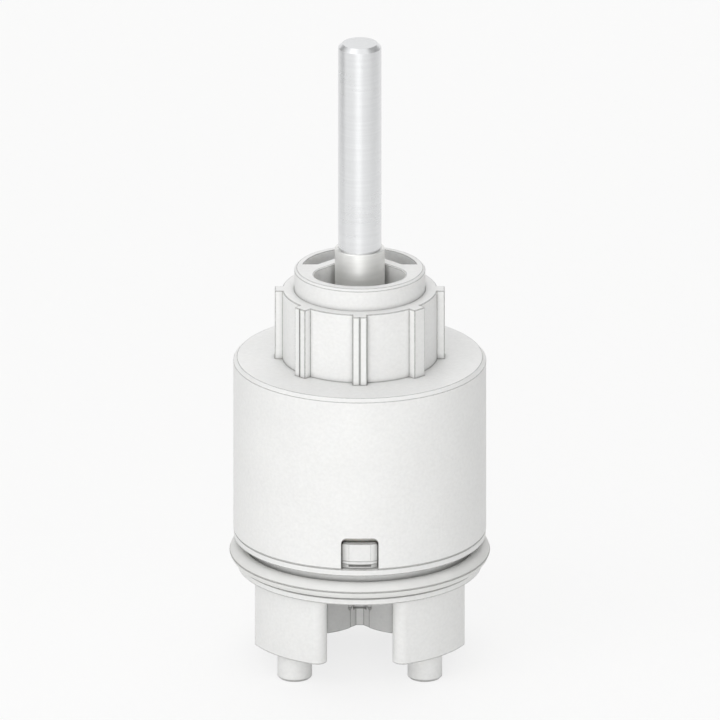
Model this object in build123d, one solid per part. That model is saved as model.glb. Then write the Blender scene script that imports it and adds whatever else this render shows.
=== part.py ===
"""Ceramic disc mixer cartridge, 35 mm barrel, with a joystick lever in a 90 degree sector gate.

Frame: the barrel axis is Z, the tips of the two locating pins lie at z = 0, and the
outlet slot and the open end of the lever gate face the front, which is -Y.
"""
from build123d import *
import os
from math import cos, radians, sin, sqrt, tan

# How far a cut runs past the face it opens, and how deep a moulded feature roots in its carrier
CUT_PAST = 1.0
ROOT = 0.4

# Barrel of the housing
BARREL_D = 35.0
BARREL_H = 25.1
BARREL_WALL = 2.2
CROWN_T = 2.4
SHOULDER_BREAK = 0.5
RIM_BREAK = 0.12

# Ribbed collar on the shoulder
COLLAR_D = 21.42
COLLAR_H = 10.0
COLLAR_WALL = 1.61
RIB_COUNT = 8
RIB_W = 2.0
RIB_RISE = 1.05
RIB_BREAK = 0.08
SEAM_RIBS = 2
SEAM_W = 0.16
SEAM_DEPTH = 0.1
COLLAR_BREAK = 0.08

# Window notch in the rim, and the key tab of the base that fills it
NOTCH_W = 5.1
NOTCH_H = 4.55
NOTCH_CORNER_R = 0.8
TAB_SIDE_GAP = 0.1
TAB_FACE_W = 3.0
TAB_FACE_INSET = 0.6
TAB_SIDE_BEVEL = 0.45
TAB_BOW = 0.07
TAB_T = 0.9
TAB_CORNER_R = 0.35
TAB_TOP_GAP = 1.0
BARB_RISE = 0.5
BARB_H = 0.34
BARB_LIFT = 0.67
BARB_BOW = 0.2
BARB_SIDE_BEVEL = 0.65
UNDERCUT_H = 0.37
UNDERCUT_DEPTH = 0.4

# Gate insert in the collar
GATE_RISE = 3.1
GATE_SEAT_DEPTH = 6.0
GATE_SEAT_STEP = 0.5
GATE_FIT_GAP = 0.03
GATE_BREAK = 0.33
GATE_MOUTH_BREAK = 0.15
GATE_CORE_WALL = 1.1
GATE_CORE_WEB = 1.5
GATE_CORE_FRONT = 1.3
GATE_CORE_FLOOR = 1.6
GATE_END_GAP = 0.18
GATE_SIDE_GAP = 0.08

# Lever: spindle, rod and ball cap
LEVER_TILT = 16.5
ROTOR_TURN = 45.0
BOSS_D = 6.92
BOSS_RISE = 3.0
BOSS_BREAK = 0.12
BOSS_LIFT = 0.3
ROD_D = 6.0
ROD_L = 30.05
ROD_TIP_BREAK = 0.58
ROD_SPIGOT_D = 4.0
ROD_SPIGOT_L = 9.0
PIVOT_RISE = 0.6
PIVOT_PIN_D = 2.5
PIVOT_PIN_BREAK = 0.2
BLADE_W = 5.0
HUB_D = 6.0
STEM_D = 3.8
TIP_SPIGOT_D = 2.8
BALL_CAP_RISE = 1.5
CAP_FLOOR_T = 0.8

# Base with its O-ring groove
PIN_H = 3.8
PIN_D = 4.8
PIN_BREAK = 0.3
PIN_EDGE_WALL = 0.81
PIN_ANGLE = 45.0
BLOCK_H = 9.55
BLOCK_INSET = 1.56
BLOCK_BREAK = 0.12
FLANGE_T = 0.95
FLANGE_INSET = 0.62
GROOVE_W = 3.5
GROOVE_DEPTH = 1.92
LIP_T = 1.0
LIP_INSET = 0.08
LIP_BREAK = 0.1
PLUG_H = 2.4
PLUG_GAP = 0.1
SNAP_BEAD = 0.25
SNAP_BEAD_H = 0.6
SNAP_BEAD_LIFT = 0.7
SNAP_GAP = 0.05
RING_SECTION_D = 2.45
RING_LIFT = 0.05

# Water ways of the base
SLOT_W = 9.06
SLOT_EDGE_R = 1.4
VALLEY_DEPTH = 1.0405
VALLEY_TOP_W = 0.96
VALLEY_FOOT_W = 2.6
VALLEY_LOBE_LAP = 1.6
VALLEY_STEP = 0.15
VALLEY_WEB_H = 2.5
GAP_W = 1.84
GAP_DEPTH = 0.35
NICHE_INSET = 0.06
NICHE_R = 0.45
NICHE_POINT = 0.35
INLET_D = 6.8
INLET_ANGLE = 52.8
INLET_SEAL_D = 11.7
INLET_SEAL_W = 1.85
INLET_SEAL_PROUD = 0.5
INLET_SEAL_DEPTH = 2.3
INLET_EDGE_WALL = 0.67
LOBE_WALL = 2.2
FLAT_WALL = 1.14
CORE_WALL = 1.6
CORE_WEB_W = 3.0
CORE_SEAL_LAP = 0.3
CORE_DEPTH = 7.5
CORE_CORNER_R = 0.5

# Disc seals between base and fixed disc
DISC_SEAL_D = 10.8
DISC_SEAL_W = 1.2
DISC_SEAL_POCKET = 1.4
DISC_SEAL_EDGE_WALL = 1.15
DISC_SEAL_WEB = 0.3
POCKET_GAP = 0.05

# Ceramic discs
FIXED_DISC_T = 4.0
MOVING_DISC_T = 3.8
DISC_FLOAT = 0.7
DISC_BREAK = 0.3
WATER_FILM = 0.02
CHAMBER_D = 11.0
CLOSED_LAND = 0.9
KIDNEY_W = 3.2
KIDNEY_SWEEP = 40.0
OUTLET_D = 7.2
FIXED_DISC_GAP = 0.3
MOVING_DISC_GAP = 0.22
KEY_W = 4.0
KEY_DEPTH = 1.7
KEY_H = 2.2
KEY_GAP = 0.1

# Driver, its seal and the noise screen
DRIVER_PLATE_T = 1.6
DRIVER_BLOCK_H = 3.58
DRIVER_BLOCK_W = 16.0
GUIDE_GAP = 0.05
RUN_GAP = 0.05
SOCKET_COVER = 1.6
SOCKET_FLOOR_T = 1.0
SOCKET_GAP = 0.06
CAP_FLOOR_GAP = 0.3
CLAW_W = 4.0
CLAW_DEPTH = 1.5
CLAW_H = 2.4
CLAW_GAP = 0.05
CHAMBER_SEAL_SECTION_D = 1.2
CHAMBER_SEAL_INSET = 0.5
SCREEN_T = 1.0
SCREEN_STEP = 0.4
SCREEN_HOLE_D = 1.1
SCREEN_PITCH = 2.05
SCREEN_RINGS = 2
SCREEN_GAP = 0.05

# Rotor and what rides on its neck
NECK_GAP = 0.08
ROTOR_GAP = 0.4
ROTOR_TOP_GAP = 0.7
ROTOR_SLOT_GAP = 0.1
ROTOR_SWING_GAP = 0.4
THRUST_T = 0.8
THRUST_GAP = 0.03
THRUST_BORE_GAP = 0.4
JAW_GAP = 0.2
STOP_DEPTH = 1.7
STOP_LIFT = 1.0
STOP_GAP = 0.2
STOP_HALF_ANGLE = 18.0
STOP_END_ANGLE = 0.5
NECK_RING_SECTION_D = 1.1
NECK_RING_LIFT = 0.25
PIN_END_GAP = 0.4
PIVOT_FIT_GAP = 0.05

# Radii that follow from the driving dimensions
barrel_r = BARREL_D / 2
cavity_r = barrel_r - BARREL_WALL
collar_r = COLLAR_D / 2
gate_r = collar_r - COLLAR_WALL
collar_bore_r = gate_r - GATE_SEAT_STEP
neck_r = collar_bore_r - NECK_GAP
rotor_r = cavity_r - ROTOR_GAP
block_r = barrel_r - BLOCK_INSET
flange_r = barrel_r - FLANGE_INSET
lip_r = barrel_r - LIP_INSET
groove_r = barrel_r - GROOVE_DEPTH
plug_r = cavity_r - PLUG_GAP
fixed_r = cavity_r - FIXED_DISC_GAP
stop_r = cavity_r - STOP_DEPTH
boss_r = BOSS_D / 2
stem_r = STEM_D / 2
ball_r = BLADE_W / 2
chamber_r = CHAMBER_D / 2

# Levels, from the pin tips upwards
face_z = PIN_H
flange_z = face_z + BLOCK_H
groove_z = flange_z + FLANGE_T
lip_z = groove_z + GROOVE_W
rim_z = lip_z + LIP_T
bead_z = rim_z + SNAP_BEAD_LIFT
plug_top_z = rim_z + PLUG_H
fixed_z = plug_top_z + DISC_FLOAT
fixed_top_z = fixed_z + FIXED_DISC_T
moving_z = fixed_top_z + WATER_FILM
moving_top_z = moving_z + MOVING_DISC_T
plate_top_z = moving_top_z + DRIVER_PLATE_T
driver_top_z = plate_top_z + DRIVER_BLOCK_H
rotor_z = driver_top_z + RUN_GAP
shoulder_z = rim_z + BARREL_H
crown_z = shoulder_z - CROWN_T
thrust_z = crown_z - THRUST_T
rotor_flange_top_z = thrust_z - THRUST_GAP
collar_top_z = shoulder_z + COLLAR_H
gate_z = collar_top_z - GATE_SEAT_DEPTH
gate_top_z = collar_top_z + GATE_RISE
rotor_top_z = gate_z - ROTOR_TOP_GAP
pivot_z = shoulder_z + PIVOT_RISE
boss_z = gate_z + BOSS_LIFT
boss_top_z = gate_top_z + BOSS_RISE
rod_top_z = boss_top_z + ROD_L
ball_z = driver_top_z - SOCKET_COVER
socket_z = moving_top_z + SOCKET_FLOOR_T
cap_z = socket_z + CAP_FLOOR_GAP
cap_top_z = ball_z + BALL_CAP_RISE

# Travel of the lever tip and what it needs
tilt = radians(LEVER_TILT)
tip_travel = (pivot_z - ball_z) * sin(tilt)
boss_reach = (gate_top_z - pivot_z) * tan(tilt) + boss_r / cos(tilt)
gate_reach = boss_reach - boss_r + GATE_END_GAP - GATE_SIDE_GAP
moving_r = cavity_r - tip_travel - MOVING_DISC_GAP
slot_front_y = boss_r * cos(tilt) + (rotor_top_z - pivot_z) * sin(tilt) + ROTOR_SWING_GAP
slot_rear_y = tip_travel + ball_r + ROTOR_SWING_GAP
guide_half_l = sqrt(rotor_r ** 2 - (DRIVER_BLOCK_W / 2) ** 2) - tip_travel - MOVING_DISC_GAP

# Places of ports, seals and pins in plan
inlet_seal_pocket_r = INLET_SEAL_D / 2 + POCKET_GAP
inlet_circle_r = block_r - inlet_seal_pocket_r - INLET_EDGE_WALL
inlet_x = inlet_circle_r * sin(radians(INLET_ANGLE))
inlet_y = inlet_circle_r * cos(radians(INLET_ANGLE))
lobe_r = inlet_seal_pocket_r + LOBE_WALL
flat_x = inlet_x + inlet_seal_pocket_r + FLAT_WALL
valley_foot_x = max(VALLEY_FOOT_W / 2, inlet_x - lobe_r + VALLEY_LOBE_LAP)
valley_foot_y = inlet_y - sqrt(lobe_r ** 2 - (inlet_x - valley_foot_x) ** 2)
valley_top_y = valley_foot_y + VALLEY_DEPTH
core_web_x = max(CORE_WEB_W / 2, inlet_x - inlet_seal_pocket_r - CORE_SEAL_LAP)
disc_pocket_r = DISC_SEAL_D / 2 + POCKET_GAP
disc_seal_circle_r = plug_r - disc_pocket_r - DISC_SEAL_EDGE_WALL
disc_seal_x = disc_seal_circle_r * sin(radians(INLET_ANGLE))
disc_seal_y = disc_seal_circle_r * cos(radians(INLET_ANGLE))
outlet_y = disc_seal_y - sqrt((2 * disc_pocket_r + DISC_SEAL_WEB) ** 2 - disc_seal_x ** 2)
pin_circle_r = block_r - PIN_D / 2 - PIN_EDGE_WALL
pin_x = pin_circle_r * sin(radians(PIN_ANGLE))
pin_y = -pin_circle_r * cos(radians(PIN_ANGLE))


def disc(radius, low_z, high_z, x=0.0, y=0.0):
    """Upright cylinder between two levels."""
    body = Cylinder(radius, high_z - low_z, align=(Align.CENTER, Align.CENTER, Align.MIN))
    return Pos(x, y, low_z) * body


def ring(outer_r, inner_r, low_z, high_z, x=0.0, y=0.0):
    """Upright tube between two levels."""
    return disc(outer_r, low_z, high_z, x, y) - disc(inner_r, low_z, high_z, x, y)


def block(low, high):
    """Box between two opposite corners."""
    size = [b - a for a, b in zip(low, high)]
    return Pos(*low) * Box(*size, align=(Align.MIN, Align.MIN, Align.MIN))


def cross_rod(radius, half_length, z):
    """Cylinder along X, centred on the barrel axis."""
    return Pos(0, 0, z) * Rot(0, 90, 0) * Cylinder(radius, 2 * half_length)


def turned(*points):
    """Solid of revolution about Z from radius and height pairs."""
    return revolve(Plane.XZ * make_face(Polyline(*points, close=True)), axis=Axis.Z)


def wedge(radius, half_angle, low_z, high_z):
    """Pie slice about +Y, up to 90 degrees each side."""
    reach = radius / cos(radians(half_angle / 2))
    corners = [(0, 0)]
    for share in (-1.0, -0.5, 0.5, 1.0):
        angle = radians(half_angle * share)
        corners.append((reach * sin(angle), reach * cos(angle)))
    slice_face = make_face(Polyline(*corners, close=True))
    return disc(radius, low_z, high_z) & Pos(0, 0, low_z) * extrude(slice_face, high_z - low_z)


def sector_sketch(margin):
    """Plan of the lever's 90 degree sector, grown all round by the margin."""
    side = ROTOR_TURN
    left = (gate_reach * -sin(radians(side)), gate_reach * -cos(radians(side)))
    right = (-left[0], left[1])
    outline = [
        Line((0, 0), left),
        CenterArc((0, 0), gate_reach, 270 - side, 2 * side),
        Line(right, (0, 0)),
    ]
    return offset(make_face(outline), amount=margin, kind=Kind.ARC)


def window_cut():
    """Notch through the rim at the front, with rounded upper corners."""
    height = NOTCH_H + NOTCH_CORNER_R
    outline = RectangleRounded(NOTCH_W, height, NOTCH_CORNER_R)
    face = Plane.XZ * Pos(0, rim_z + NOTCH_H - height / 2) * outline
    inner_y = CUT_PAST - cavity_r
    upper = Pos(0, inner_y, 0) * extrude(face, barrel_r)
    low = (-NOTCH_W / 2, -barrel_r - CUT_PAST, rim_z - CUT_PAST)
    return upper + block(low, (NOTCH_W / 2, inner_y, rim_z + NOTCH_H / 2))


def make_collar():
    """Solid collar with broken edges, its ribs, and a mould seam down the front ones."""
    rib = chamfer(Rectangle(RIB_RISE + ROOT, RIB_W).vertices(), RIB_BREAK)
    rib = Pos(collar_r + (RIB_RISE - ROOT) / 2, 0) * rib
    plan = Circle(collar_r) + PolarLocations(0, RIB_COUNT) * rib
    body = Pos(0, 0, shoulder_z - ROOT) * extrude(plan, COLLAR_H + ROOT)
    body = chamfer(body.edges().group_by(Axis.Z)[-1], COLLAR_BREAK)
    face_y = -collar_r - RIB_RISE
    low = (-SEAM_W / 2, face_y - CUT_PAST, shoulder_z)
    seam = block(low, (SEAM_W / 2, face_y + SEAM_DEPTH, collar_top_z))
    for index in range(SEAM_RIBS):
        body -= Rot(0, 0, -index * 360 / RIB_COUNT) * seam
    return body


def make_housing():
    """Cup with crown, shoulder and ribbed collar."""
    body = disc(barrel_r, rim_z, shoulder_z)
    body = chamfer(body.edges().group_by(Axis.Z)[-1], SHOULDER_BREAK)
    body = chamfer(body.edges().group_by(Axis.Z)[0], RIM_BREAK)
    body += make_collar()
    body -= disc(cavity_r, rim_z, crown_z)
    body -= disc(collar_bore_r, crown_z, gate_z)
    body -= disc(gate_r, gate_z, collar_top_z)
    body -= turned(
        (plug_r, bead_z - SNAP_GAP),
        (cavity_r + SNAP_BEAD + SNAP_GAP, bead_z + SNAP_BEAD_H / 2 - SNAP_GAP),
        (cavity_r + SNAP_BEAD + SNAP_GAP, bead_z + SNAP_BEAD_H / 2 + SNAP_GAP),
        (plug_r, bead_z + SNAP_BEAD_H + SNAP_GAP),
    )
    stop = wedge(cavity_r + BARREL_WALL / 2, STOP_HALF_ANGLE, rotor_z + STOP_LIFT, crown_z)
    body += stop - disc(stop_r, rotor_z, crown_z)
    body -= window_cut()
    body -= Rot(0, 0, 180) * window_cut()
    return body


def make_lever_gate():
    """Insert whose opening is the sector that the lever may lean into."""
    body = disc(gate_r - GATE_FIT_GAP, gate_z, gate_top_z)
    body = chamfer(body.edges().group_by(Axis.Z)[-1], GATE_BREAK)
    margin = boss_r + GATE_SIDE_GAP
    height = gate_top_z - gate_z
    body -= Pos(0, 0, gate_z) * extrude(sector_sketch(margin), height)
    mouth = body.faces().sort_by(Axis.Z)[-1].inner_wires()[0].edges()
    body = chamfer(mouth, GATE_MOUTH_BREAK)
    core = disc(gate_r - GATE_CORE_WALL, gate_z + GATE_CORE_FLOOR, gate_top_z)
    core -= block((-gate_r, -gate_r, gate_z), (gate_r, GATE_CORE_FRONT, gate_top_z))
    core -= Pos(0, 0, gate_z) * extrude(sector_sketch(margin + GATE_CORE_WEB), height)
    return body - core


def tab_plan(face_y, bow, bevel):
    """Plan of the front key tab: a slightly bowed face with bevelled sides."""
    side_x = NOTCH_W / 2 - TAB_SIDE_GAP
    root_y = ROOT - plug_r
    face_x = TAB_FACE_W / 2
    outline = [
        Polyline((-face_x, face_y + bow), (-side_x, face_y + bevel), (-side_x, root_y)),
        Line((-side_x, root_y), (side_x, root_y)),
        Polyline((side_x, root_y), (side_x, face_y + bevel), (face_x, face_y + bow)),
        ThreePointArc((face_x, face_y + bow), (0, face_y), (-face_x, face_y + bow)),
    ]
    return make_face(outline)


def make_key_tab():
    """Tab with a barb that stands on the lip and keys the base in the window notch."""
    face_y = -(barrel_r - TAB_FACE_INSET)
    width = NOTCH_W - 2 * TAB_SIDE_GAP
    height = NOTCH_H - TAB_TOP_GAP + ROOT
    top_z = rim_z - ROOT + height
    barb_z = rim_z + BARB_LIFT
    tab = Pos(0, 0, rim_z - ROOT) * extrude(tab_plan(face_y, TAB_BOW, TAB_SIDE_BEVEL), height)
    tab = fillet(tab.edges().filter_by(Axis.Y).group_by(Axis.Z)[-1], TAB_CORNER_R)
    foot = Pos(0, 0, barb_z) * tab_plan(face_y - BARB_RISE, BARB_BOW, BARB_SIDE_BEVEL)
    head = Pos(0, 0, barb_z + BARB_H) * tab_plan(face_y, TAB_BOW, TAB_SIDE_BEVEL)
    tab += loft([foot, head])
    low = (-TAB_FACE_W / 2, face_y - CUT_PAST, barb_z - UNDERCUT_H)
    tab -= block(low, (TAB_FACE_W / 2, face_y + UNDERCUT_DEPTH, barb_z))
    return tab - disc(-face_y - TAB_T, plug_top_z, top_z + CUT_PAST)


def slot_plan():
    """Plan of the outlet slot, which ends between the two inlet lobes."""
    cut = Pos(0, (valley_top_y - barrel_r) / 2) * Rectangle(SLOT_W, barrel_r + valley_top_y)
    for side in (-1, 1):
        cut -= Pos(side * inlet_x, inlet_y) * Circle(lobe_r)
    valley = Polyline(
        (-valley_foot_x, valley_foot_y),
        (-valley_foot_x, valley_foot_y + VALLEY_STEP),
        (-VALLEY_TOP_W / 2, valley_top_y),
        (VALLEY_TOP_W / 2, valley_top_y),
        (valley_foot_x, valley_foot_y + VALLEY_STEP),
        (valley_foot_x, valley_foot_y),
        close=True,
    )
    return cut + make_face(valley)


def core_plan():
    """Plan of the two pockets that thin the block behind the inlets."""
    near_y = inlet_y + CORE_WALL
    plan = Circle(block_r - CORE_WALL) & Pos(0, near_y + barrel_r / 2) * Rectangle(BARREL_D, barrel_r)
    for side in (-1, 1):
        plan -= Pos(side * inlet_x, inlet_y) * Circle(inlet_seal_pocket_r + CORE_WALL)
    plan -= Rectangle(2 * core_web_x, BARREL_D)
    return fillet(plan.vertices(), CORE_CORNER_R)


def make_block():
    """Lower block of the base, with its flats, outlet slot and the gap between the lobes."""
    body = disc(block_r, face_z, flange_z)
    body &= block((-flat_x, -barrel_r, face_z), (flat_x, barrel_r, flange_z))
    body -= Pos(0, 0, face_z) * extrude(slot_plan(), BLOCK_H)
    mouth = body.edges().filter_by(Axis.Z).filter_by_position(Axis.Y, -barrel_r, -SLOT_W)
    body = fillet(mouth, SLOT_EDGE_R)
    foot = body.edges().group_by(Axis.Z)[0]
    outline = foot.filter_by(lambda edge: edge.center().cross(Vector(0, 0, 1)).length > lobe_r)
    body = chamfer(outline, BLOCK_BREAK)
    body -= Pos(0, 0, face_z) * extrude(core_plan(), CORE_DEPTH)
    web_z = face_z + VALLEY_WEB_H
    gap_back_y = valley_top_y + GAP_DEPTH
    body -= block((-GAP_W / 2, valley_foot_y, web_z), (GAP_W / 2, gap_back_y, flange_z))
    niche = turned((0, web_z), (NICHE_R, web_z + NICHE_POINT), (NICHE_R, flange_z), (0, flange_z))
    for side in (-1, 1):
        body -= Pos(side * (valley_foot_x - NICHE_INSET), valley_foot_y) * niche
    return body


def make_pins():
    """Pair of locating pins with broken tips."""
    pins = Part()
    for side in (-1, 1):
        pin = disc(PIN_D / 2, 0, face_z + ROOT, side * pin_x, pin_y)
        pins += chamfer(pin.edges().group_by(Axis.Z)[0], PIN_BREAK)
    return pins


def make_disc_keys():
    """Two lugs on top of the plug that stop the fixed disc from turning."""
    near = fixed_r - KEY_DEPTH + KEY_GAP
    far = sqrt(plug_r ** 2 - (KEY_W / 2) ** 2) - KEY_GAP / 2
    lug = block((near, -KEY_W / 2, plug_top_z - ROOT), (far, KEY_W / 2, fixed_z + KEY_H))
    return lug + Rot(0, 0, 180) * lug


def make_base():
    """Distributor: pins, block, O-ring groove, lip, plug, key tabs and water ways."""
    body = make_block() + make_pins()
    body += turned(
        (0, flange_z), (flange_r - LIP_BREAK, flange_z), (flange_r, flange_z + LIP_BREAK),
        (flange_r, groove_z - LIP_BREAK), (flange_r - LIP_BREAK, groove_z), (groove_r, groove_z),
        (groove_r, lip_z), (lip_r - LIP_BREAK, lip_z), (lip_r, lip_z + LIP_BREAK),
        (lip_r, rim_z - LIP_BREAK), (lip_r - LIP_BREAK, rim_z), (plug_r, rim_z),
        (plug_r, bead_z), (plug_r + SNAP_BEAD, bead_z + SNAP_BEAD_H / 2),
        (plug_r, bead_z + SNAP_BEAD_H), (plug_r, plug_top_z), (0, plug_top_z),
    )
    tab = make_key_tab()
    body += tab
    body += Rot(0, 0, 180) * tab
    body += make_disc_keys()
    pocket_z = plug_top_z - DISC_SEAL_POCKET
    for side in (-1, 1):
        body -= disc(INLET_D / 2, face_z, plug_top_z, side * inlet_x, inlet_y)
        seal_top_z = face_z + INLET_SEAL_DEPTH
        body -= disc(inlet_seal_pocket_r, face_z, seal_top_z, side * inlet_x, inlet_y)
        body -= disc(disc_pocket_r, pocket_z, plug_top_z, side * disc_seal_x, disc_seal_y)
    body -= disc(disc_pocket_r, pocket_z, plug_top_z, 0, outlet_y)
    body -= disc(INLET_D / 2, flange_z - CUT_PAST, plug_top_z, 0, outlet_y)
    return body


def make_outer_o_ring():
    """Ring in the groove of the base."""
    section_r = RING_SECTION_D / 2
    return Pos(0, 0, groove_z + section_r + RING_LIFT) * Torus(groove_r + section_r, section_r)


def make_inlet_seal(side):
    """Bottom seal of one inlet, with two sealing lips that stand proud of the base."""
    outer = INLET_SEAL_D / 2
    inner = outer - INLET_SEAL_W
    top = face_z + INLET_SEAL_DEPTH
    low = face_z - INLET_SEAL_PROUD
    lip = INLET_SEAL_W / 4
    seal = turned(
        (inner, top), (outer, top), (outer, low + lip), (outer - lip, low),
        (outer - 2 * lip, low + lip), (inner + lip, low), (inner, low + lip),
    )
    return Pos(side * inlet_x, inlet_y, 0) * seal


def make_disc_seal(x, y):
    """Ring that seals one port of the fixed disc to the base and carries the disc."""
    outer = DISC_SEAL_D / 2
    seal = ring(outer, outer - DISC_SEAL_W, plug_top_z - DISC_SEAL_POCKET, fixed_z, x, y)
    return chamfer(seal.edges().group_by(Axis.Z)[-1], DISC_SEAL_W / 6)


def kidney(side):
    """Plan of one curved inlet port in the fixed disc."""
    inner = chamber_r + CLOSED_LAND
    middle = inner + KIDNEY_W / 2
    start = 90 - side * INLET_ANGLE - KIDNEY_SWEEP / 2
    return SlotArc(CenterArc((0, 0), middle, start, KIDNEY_SWEEP), KIDNEY_W)


def make_fixed_disc():
    """Fixed ceramic disc with two curved inlet ports and a round outlet port."""
    body = disc(fixed_r, fixed_z, fixed_top_z)
    body = chamfer(body.edges(), DISC_BREAK)
    for side in (-1, 1):
        body -= Pos(0, 0, fixed_z) * extrude(kidney(side), FIXED_DISC_T)
        near = side * (fixed_r - KEY_DEPTH)
        far = side * (fixed_r + CUT_PAST)
        half_w = KEY_W / 2 + KEY_GAP
        body -= block((min(near, far), -half_w, fixed_z), (max(near, far), half_w, fixed_top_z))
    return body - disc(OUTLET_D / 2, fixed_z, fixed_top_z, 0, outlet_y)


def make_moving_disc():
    """Moving ceramic disc with the mixing chamber, a seat for the screen and two drive notches."""
    body = disc(moving_r, moving_z, moving_top_z)
    body = chamfer(body.edges(), DISC_BREAK)
    body -= disc(chamber_r, moving_z, moving_top_z)
    body -= disc(chamber_r + SCREEN_STEP, moving_top_z - SCREEN_T, moving_top_z)
    for side in (-1, 1):
        near = side * (moving_r - CLAW_DEPTH - CLAW_GAP)
        far = side * (moving_r + CUT_PAST)
        half_w = CLAW_W / 2 + CLAW_GAP
        low_z = moving_top_z - CLAW_H - CLAW_GAP
        body -= block((min(near, far), -half_w, low_z), (max(near, far), half_w, moving_top_z))
    return body


def make_noise_screen():
    """Perforated disc that breaks up the flow in the mixing chamber."""
    body = disc(chamber_r + SCREEN_STEP - SCREEN_GAP, moving_top_z - SCREEN_T, moving_top_z)
    body -= disc(SCREEN_HOLE_D / 2, moving_z, moving_top_z)
    for ring_number in range(1, SCREEN_RINGS + 1):
        for index in range(6 * ring_number):
            angle = radians(index * 60 / ring_number)
            x = ring_number * SCREEN_PITCH * cos(angle)
            y = ring_number * SCREEN_PITCH * sin(angle)
            body -= disc(SCREEN_HOLE_D / 2, moving_z, moving_top_z, x, y)
    return body


def chamber_seal_r():
    """Centre radius of the ring between driver and moving disc."""
    return chamber_r + SCREEN_STEP + CHAMBER_SEAL_INSET / 2 + CHAMBER_SEAL_SECTION_D / 2


def make_chamber_seal():
    """Ring that closes the mixing chamber against the driver."""
    section_r = CHAMBER_SEAL_SECTION_D / 2
    return Pos(0, 0, moving_top_z + section_r) * Torus(chamber_seal_r(), section_r)


def make_disc_driver():
    """Slide with a ball socket, which the lever tip pushes and which carries the moving disc."""
    half_w = DRIVER_BLOCK_W / 2
    body = disc(moving_r, moving_top_z, plate_top_z)
    body = chamfer(body.edges(), DISC_BREAK)
    low = (-half_w, -guide_half_l, moving_top_z + DISC_BREAK)
    body += block(low, (half_w, guide_half_l, driver_top_z))
    for side in (-1, 1):
        near = side * (moving_r - CLAW_DEPTH)
        far = side * moving_r
        low = (min(near, far), -CLAW_W / 2, moving_top_z - CLAW_H)
        claw = block(low, (max(near, far), CLAW_W / 2, plate_top_z - DISC_BREAK))
        body += claw & disc(moving_r, moving_top_z - CLAW_H, plate_top_z)
    body -= disc(ball_r + SOCKET_GAP, socket_z, driver_top_z)
    groove_half = CHAMBER_SEAL_SECTION_D / 2 + POCKET_GAP
    groove_mid = chamber_seal_r()
    groove_top = moving_top_z + CHAMBER_SEAL_SECTION_D
    body -= ring(groove_mid + groove_half, groove_mid - groove_half, moving_top_z, groove_top)
    return body


def make_rotor():
    """Lever carrier: neck in the collar, flange under the crown and two jaws that guide the driver."""
    notch_angle = STOP_HALF_ANGLE + ROTOR_TURN + STOP_END_ANGLE
    groove_low = crown_z + NECK_RING_LIFT
    groove_floor = neck_r - NECK_RING_SECTION_D
    body = disc(rotor_r, rotor_z, rotor_flange_top_z)
    body += disc(neck_r, rotor_flange_top_z - ROOT, rotor_top_z)
    jaws = disc(rotor_r, plate_top_z + JAW_GAP, rotor_z)
    jaw_x = DRIVER_BLOCK_W / 2 + GUIDE_GAP
    jaws -= block((-jaw_x, -rotor_r, plate_top_z), (jaw_x, rotor_r, rotor_z))
    body += jaws
    notch_z = rotor_z + STOP_LIFT - STOP_GAP
    notch = wedge(rotor_r + CUT_PAST, notch_angle, notch_z, rotor_flange_top_z)
    body -= notch - disc(stop_r - STOP_GAP, rotor_z, rotor_flange_top_z)
    slot_half = BLADE_W / 2 + ROTOR_SLOT_GAP
    body -= block((-slot_half, -slot_front_y, rotor_z), (slot_half, slot_rear_y, rotor_top_z))
    body -= cross_rod(PIVOT_PIN_D / 2, neck_r + CUT_PAST, pivot_z)
    groove_high = groove_low + NECK_RING_SECTION_D + POCKET_GAP
    body -= ring(neck_r + CUT_PAST, groove_floor, groove_low, groove_high)
    return body


def make_rotor_o_ring():
    """Ring on the neck of the rotor, which drags lightly in the collar bore."""
    section_r = NECK_RING_SECTION_D / 2
    return Pos(0, 0, crown_z + NECK_RING_LIFT + section_r) * Torus(neck_r - section_r, section_r)


def make_pivot_pin():
    """Cross pin of the lever, trapped by the collar bore."""
    pin = cross_rod(PIVOT_PIN_D / 2, neck_r - PIN_END_GAP, pivot_z)
    return chamfer(pin.edges().filter_by(GeomType.CIRCLE), PIVOT_PIN_BREAK)


def make_thrust_ring():
    """Low friction washer between the crown and the rotor."""
    return ring(stop_r - STOP_GAP, neck_r + THRUST_BORE_GAP, thrust_z, crown_z)


def make_lever_spindle():
    """Round boss in the gate, flat blade on the pivot pin and stem down to the tip."""
    half_w = BLADE_W / 2
    hub_r = HUB_D / 2
    body = disc(boss_r, boss_z, boss_top_z)
    body = chamfer(body.edges().group_by(Axis.Z)[-1], BOSS_BREAK)
    blade = block((-half_w, -boss_r, pivot_z), (half_w, boss_r, boss_z))
    body += blade & disc(boss_r, pivot_z, boss_z)
    body += cross_rod(hub_r, half_w, pivot_z)
    body += disc(stem_r, cap_top_z, pivot_z)
    body += disc(TIP_SPIGOT_D / 2, cap_z + CAP_FLOOR_T, cap_top_z)
    body -= cross_rod(PIVOT_PIN_D / 2 + PIVOT_FIT_GAP, half_w + CUT_PAST, pivot_z)
    body -= disc(ROD_SPIGOT_D / 2, boss_top_z - ROD_SPIGOT_L, boss_top_z)
    return body


def make_control_rod():
    """Round rod that the handle clamps on, pressed into the spindle by its spigot."""
    body = disc(ROD_D / 2, boss_top_z, rod_top_z)
    body = chamfer(body.edges().group_by(Axis.Z)[-1], ROD_TIP_BREAK)
    return body + disc(ROD_SPIGOT_D / 2, boss_top_z - ROD_SPIGOT_L, boss_top_z)


def make_lever_tip_cap():
    """Ball cap on the lever tip, flat above and below, which passes through the slot of the rotor."""
    ball = Pos(0, 0, ball_z) * Sphere(ball_r)
    ball &= disc(BLADE_W, cap_z, cap_top_z)
    return ball - disc(TIP_SPIGOT_D / 2, cap_z + CAP_FLOOR_T, cap_top_z)


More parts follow.
